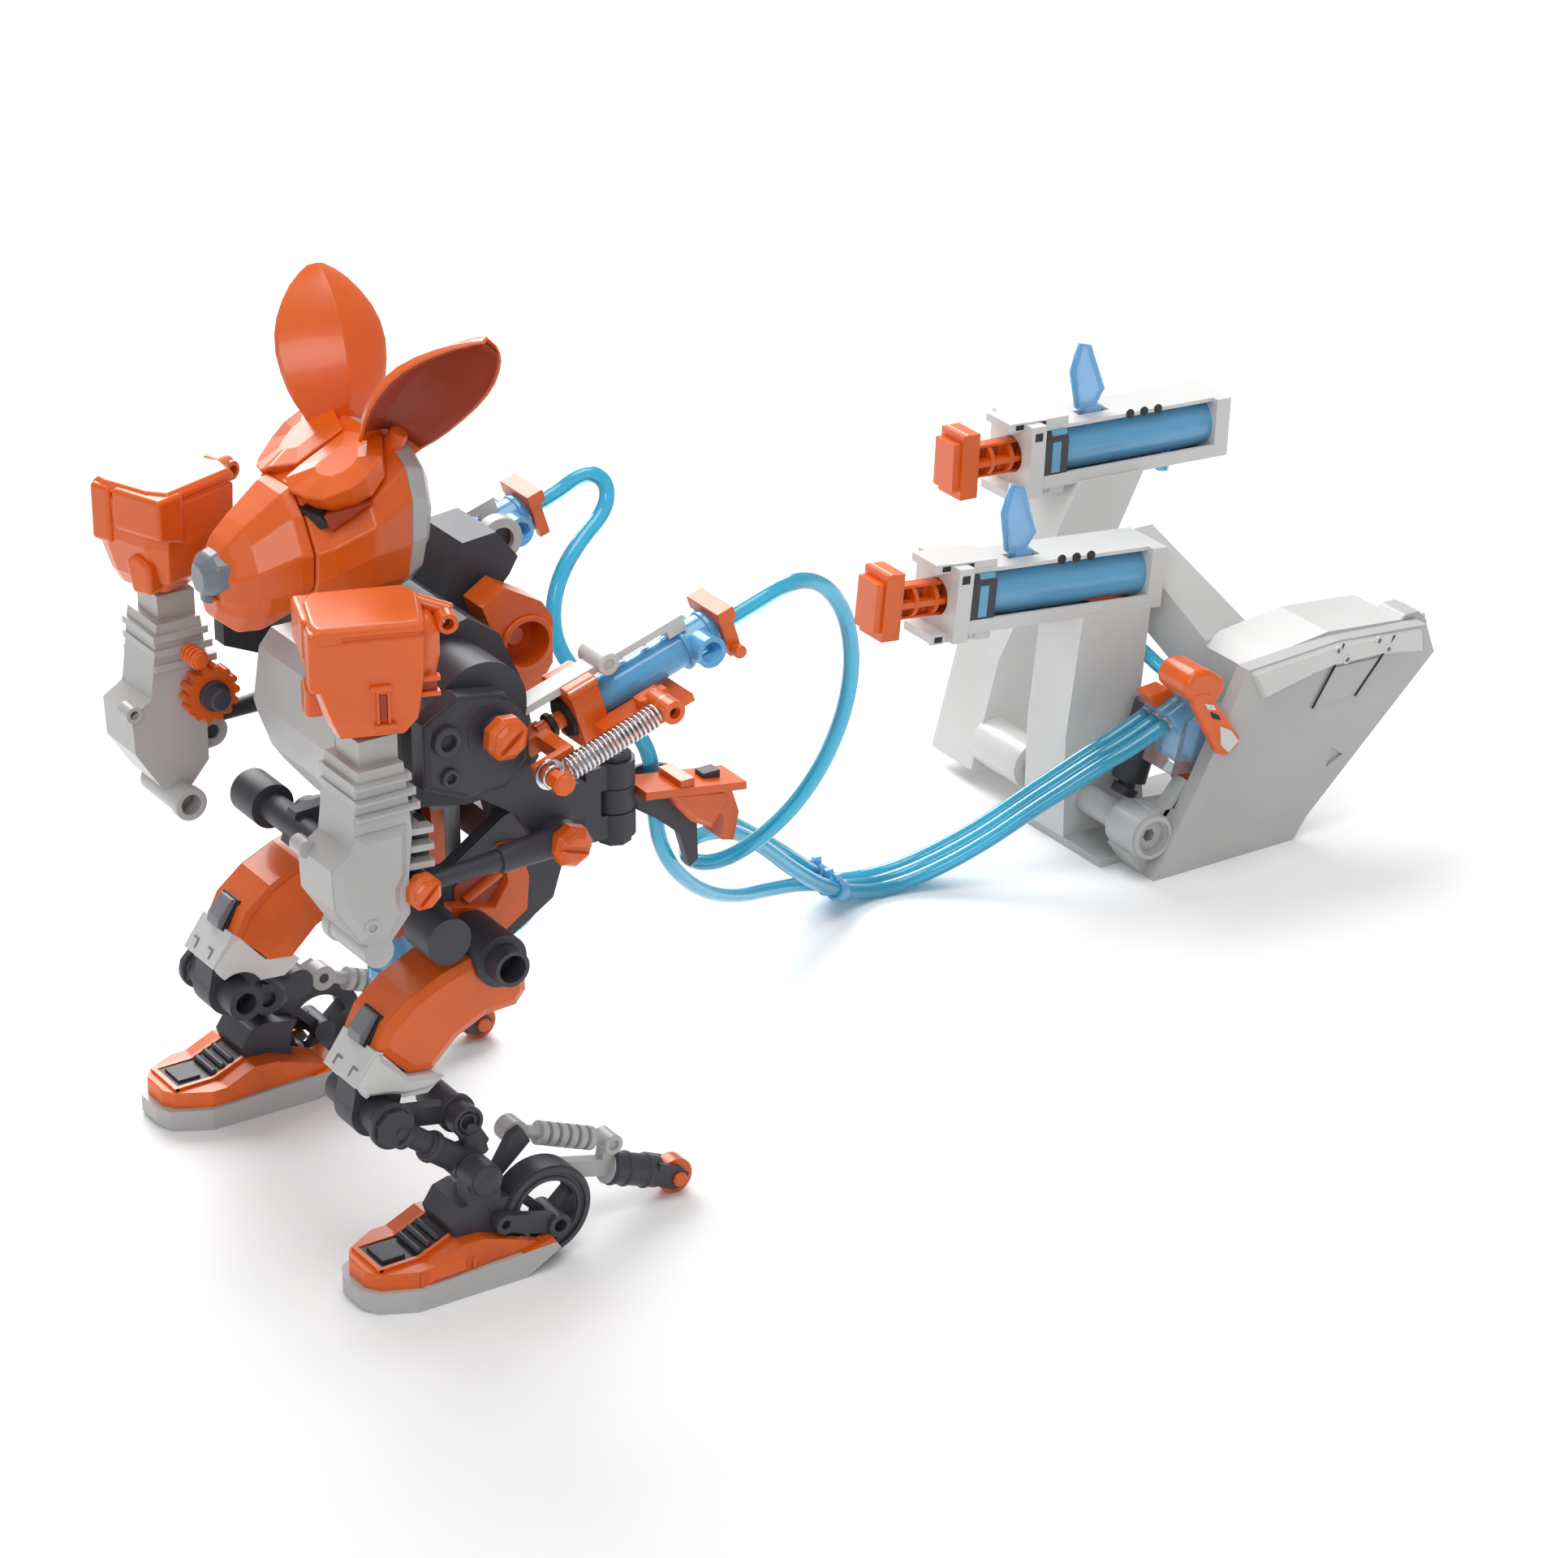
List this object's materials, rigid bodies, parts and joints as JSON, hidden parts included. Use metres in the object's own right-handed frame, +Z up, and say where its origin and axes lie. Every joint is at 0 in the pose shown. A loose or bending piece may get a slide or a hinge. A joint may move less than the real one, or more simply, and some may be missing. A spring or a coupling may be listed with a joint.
{
  "type": "hydraulic boxing robot kit",
  "caption": "Hydraulic boxing kangaroo robot on two feet, its punching arms and body lean worked through clear tubes by thumb plungers on a two-handed control unit.",
  "frame": {"origin": "bottom centre of the kit's box on the ground, tubes apart", "axes": "+Z up, the robot faces -Y, its left side is +X, the control unit stands behind it towards +Y"},
  "size_m": [0.2298, 0.4812, 0.2741],
  "materials": {
    "orange_plastic": "satin moulded",
    "dark_grey_plastic": "satin moulded",
    "light_grey_plastic": "satin moulded",
    "blue_clear": "clear gloss",
    "tube_vinyl": "clear gloss",
    "clear_plastic": "clear gloss",
    "spring_steel": "bright wire"
  },
  "bodies": {
    "base": {"hip_axle": "dark_grey_plastic", "pelvis_frame": "orange_plastic", "lean_cylinder": "blue_clear", "left_tube": "tube_vinyl", "right_tube": "tube_vinyl", "lean_tube": "tube_vinyl", "console_plate": "light_grey_plastic", "console_housing": "light_grey_plastic", "near_handle": "light_grey_plastic", "near_barrel": "blue_clear", "lean_master": "dark_grey_plastic", "tube_manifold": "clear_plastic"},
    "torso": {"torso_frame": "dark_grey_plastic", "chest_shell": "light_grey_plastic", "back_guards": "orange_plastic", "left_syringe": "blue_clear", "right_syringe": "blue_clear", "drive_clips": "orange_plastic", "syringe_rails": "light_grey_plastic", "left_return_spring": "spring_steel", "right_return_spring": "spring_steel"},
    "lean_piston": {"lean_piston": "dark_grey_plastic"},
    "head": {"head_shell": "orange_plastic", "snout": "orange_plastic", "skull_rear": "light_grey_plastic"},
    "left_ear": {"left_ear": "orange_plastic"},
    "right_ear": {"right_ear": "orange_plastic"},
    "tail": {"tail_hook": "dark_grey_plastic", "tail_clamp": "orange_plastic"},
    "far_handle": {"far_handle": "light_grey_plastic", "far_barrel": "blue_clear"},
    "near_plunger": {"near_plunger": "orange_plastic"},
    "far_plunger": {"far_plunger": "orange_plastic"},
    "near_fin": {"near_fin": "blue_clear"},
    "far_fin": {"far_fin": "blue_clear"},
    "manifold_clamp": {"manifold_clamp": "orange_plastic"},
    "left_upper_arm": {"left_upper_arm": "dark_grey_plastic"},
    "left_forearm": {"left_forearm_shell": "light_grey_plastic", "left_glove": "orange_plastic", "left_ratchet_gear": "orange_plastic"},
    "left_punch_rod": {"left_punch_rod": "orange_plastic"},
    "left_thigh": {"left_thigh_frame": "dark_grey_plastic", "left_thigh_cover": "orange_plastic"},
    "left_shin": {"left_shin": "dark_grey_plastic"},
    "left_foot": {"left_foot": "orange_plastic", "left_ankle_block": "dark_grey_plastic"},
    "left_prop": {"left_prop_arm": "dark_grey_plastic"},
    "left_roller": {"left_prop_roller": "orange_plastic"},
    "right_upper_arm": {"right_upper_arm": "dark_grey_plastic"},
    "right_forearm": {"right_forearm_shell": "light_grey_plastic", "right_glove": "orange_plastic", "right_ratchet_gear": "orange_plastic"},
    "right_punch_rod": {"right_punch_rod": "orange_plastic"},
    "right_thigh": {"right_thigh_frame": "dark_grey_plastic", "right_thigh_cover": "orange_plastic"},
    "right_shin": {"right_shin": "dark_grey_plastic"},
    "right_foot": {"right_foot": "orange_plastic", "right_ankle_block": "dark_grey_plastic"},
    "right_prop": {"right_prop_arm": "dark_grey_plastic"},
    "right_roller": {"right_prop_roller": "orange_plastic"}
  },
  "joints": [
    {"name": "lean", "type": "hinge", "parent": "base", "child": "torso", "pos_m": [0.0345, -0.15536, 0.118], "axis": [1, 0, 0], "range_deg": [-6, 6], "deforming": ["left_tube", "right_tube", "lean_tube"]},
    {"name": "lean_piston_stroke", "type": "slide", "parent": "base", "child": "lean_piston", "axis": [0, 0, 1], "range_m": [-0.003, 0.003]},
    {"name": "handle_squeeze", "type": "hinge", "parent": "base", "child": "far_handle", "pos_m": [0.0345, 0.12264, 0.015], "axis": [1, 0, 0], "range_deg": [-6, 6]},
    {"name": "head_turn", "type": "hinge", "parent": "torso", "child": "head", "pos_m": [0.0345, -0.18636, 0.19], "axis": [0, 0, 1], "range_deg": [-30, 30]},
    {"name": "left_ear_tilt", "type": "hinge", "parent": "head", "child": "left_ear", "pos_m": [0.047, -0.18436, 0.234], "axis": [1, 0, 0], "range_deg": [-15, 15]},
    {"name": "left_shoulder", "type": "hinge", "parent": "torso", "child": "left_upper_arm", "pos_m": [0.0945, -0.18086, 0.1659], "axis": [1, 0, 0], "range_deg": [-35, 0]},
    {"name": "left_elbow", "type": "hinge", "parent": "left_upper_arm", "child": "left_forearm", "pos_m": [0.0945, -0.20886, 0.1269], "axis": [1, 0, 0], "range_deg": [0, 63]},
    {"name": "left_punch_stroke", "type": "slide", "parent": "torso", "child": "left_punch_rod", "axis": [0, -0.9537, -0.3007], "range_m": [0, 0.012], "deforming": ["left_return_spring"]},
    {"name": "left_hip", "type": "hinge", "parent": "base", "child": "left_thigh", "pos_m": [0.0785, -0.17636, 0.09], "axis": [1, 0, 0], "range_deg": [-3, 6]},
    {"name": "left_knee", "type": "hinge", "parent": "left_thigh", "child": "left_shin", "pos_m": [0.0785, -0.21536, 0.05], "axis": [1, 0, 0], "range_deg": [-20.2, 10.2]},
    {"name": "left_ankle", "type": "hinge", "parent": "left_shin", "child": "left_foot", "pos_m": [0.0965, -0.19396, 0.033], "axis": [1, 0, 0], "range_deg": [-7.2, 14.2]},
    {"name": "left_prop_fold", "type": "hinge", "parent": "left_foot", "child": "left_prop", "pos_m": [0.0925, -0.17616, 0.0364], "axis": [1, 0, 0], "range_deg": [0, 12]},
    {"name": "left_roller_spin", "type": "hinge", "parent": "left_prop", "child": "left_roller", "pos_m": [0.0925, -0.12216, 0.0057], "axis": [1, 0, 0], "continuous": true},
    {"name": "right_ear_tilt", "type": "hinge", "parent": "head", "child": "right_ear", "pos_m": [0.022, -0.18436, 0.234], "axis": [1, 0, 0], "range_deg": [-15, 15]},
    {"name": "right_shoulder", "type": "hinge", "parent": "torso", "child": "right_upper_arm", "pos_m": [-0.0255, -0.18086, 0.1659], "axis": [1, 0, 0], "range_deg": [-35, 0]},
    {"name": "right_elbow", "type": "hinge", "parent": "right_upper_arm", "child": "right_forearm", "pos_m": [-0.0255, -0.20886, 0.1269], "axis": [1, 0, 0], "range_deg": [0, 63]},
    {"name": "right_punch_stroke", "type": "slide", "parent": "torso", "child": "right_punch_rod", "axis": [0, -0.9537, -0.3007], "range_m": [0, 0.012], "deforming": ["right_return_spring"]},
    {"name": "right_hip", "type": "hinge", "parent": "base", "child": "right_thigh", "pos_m": [-0.0095, -0.17636, 0.09], "axis": [1, 0, 0], "range_deg": [-3, 6]},
    {"name": "right_knee", "type": "hinge", "parent": "right_thigh", "child": "right_shin", "pos_m": [-0.0095, -0.21536, 0.05], "axis": [1, 0, 0], "range_deg": [-20.2, 10.2]},
    {"name": "right_ankle", "type": "hinge", "parent": "right_shin", "child": "right_foot", "pos_m": [-0.0275, -0.19396, 0.033], "axis": [1, 0, 0], "range_deg": [-7.2, 14.2]},
    {"name": "right_prop_fold", "type": "hinge", "parent": "right_foot", "child": "right_prop", "pos_m": [-0.0235, -0.17616, 0.0364], "axis": [1, 0, 0], "range_deg": [0, 12]},
    {"name": "right_roller_spin", "type": "hinge", "parent": "right_prop", "child": "right_roller", "pos_m": [-0.0235, -0.12216, 0.0057], "axis": [1, 0, 0], "continuous": true},
    {"name": "near_trigger", "type": "slide", "parent": "base", "child": "near_plunger", "axis": [0, 0.9945, -0.1045], "range_m": [0, 0.0116]},
    {"name": "far_trigger", "type": "slide", "parent": "far_handle", "child": "far_plunger", "axis": [0, 0.9986, -0.0523], "range_m": [0, 0.0116]},
    {"name": "near_fin_tilt", "type": "hinge", "parent": "base", "child": "near_fin", "pos_m": [-0.0455, 0.10059, 0.10587], "axis": [1, 0, 0], "range_deg": [-15, 15]},
    {"name": "far_fin_tilt", "type": "hinge", "parent": "far_handle", "child": "far_fin", "pos_m": [-0.1025, 0.17017, 0.12405], "axis": [1, 0, 0], "range_deg": [-15, 15]},
    {"name": "clamp_lever", "type": "hinge", "parent": "base", "child": "manifold_clamp", "pos_m": [-0.0105, 0.14564, 0.028], "axis": [1, 0, 0], "range_deg": [0, 20]},
    {"name": "tail_swing", "type": "hinge", "parent": "base", "child": "tail", "pos_m": [0.0345, -0.10536, 0.102], "axis": [0, 0, 1], "range_deg": [-8, 8]}
  ],
  "couplings": [
    {"joint": "lean_piston_stroke", "follows": "lean", "m_per_rad": -0.024},
    {"joint": "handle_squeeze", "follows": "lean", "ratio": 0.9},
    {"joint": "left_elbow", "follows": "left_shoulder", "ratio": -1.8},
    {"joint": "left_punch_stroke", "follows": "left_shoulder", "m_per_rad": -0.019},
    {"joint": "left_knee", "follows": "left_hip", "ratio": -3.35},
    {"joint": "left_ankle", "follows": "left_hip", "ratio": 2.35},
    {"joint": "right_elbow", "follows": "right_shoulder", "ratio": -1.8},
    {"joint": "right_punch_stroke", "follows": "right_shoulder", "m_per_rad": -0.019},
    {"joint": "right_knee", "follows": "right_hip", "ratio": -3.35},
    {"joint": "right_ankle", "follows": "right_hip", "ratio": 2.35},
    {"joint": "near_trigger", "follows": "left_shoulder", "m_per_rad": -0.0185},
    {"joint": "far_trigger", "follows": "right_shoulder", "m_per_rad": -0.0185}
  ]
}
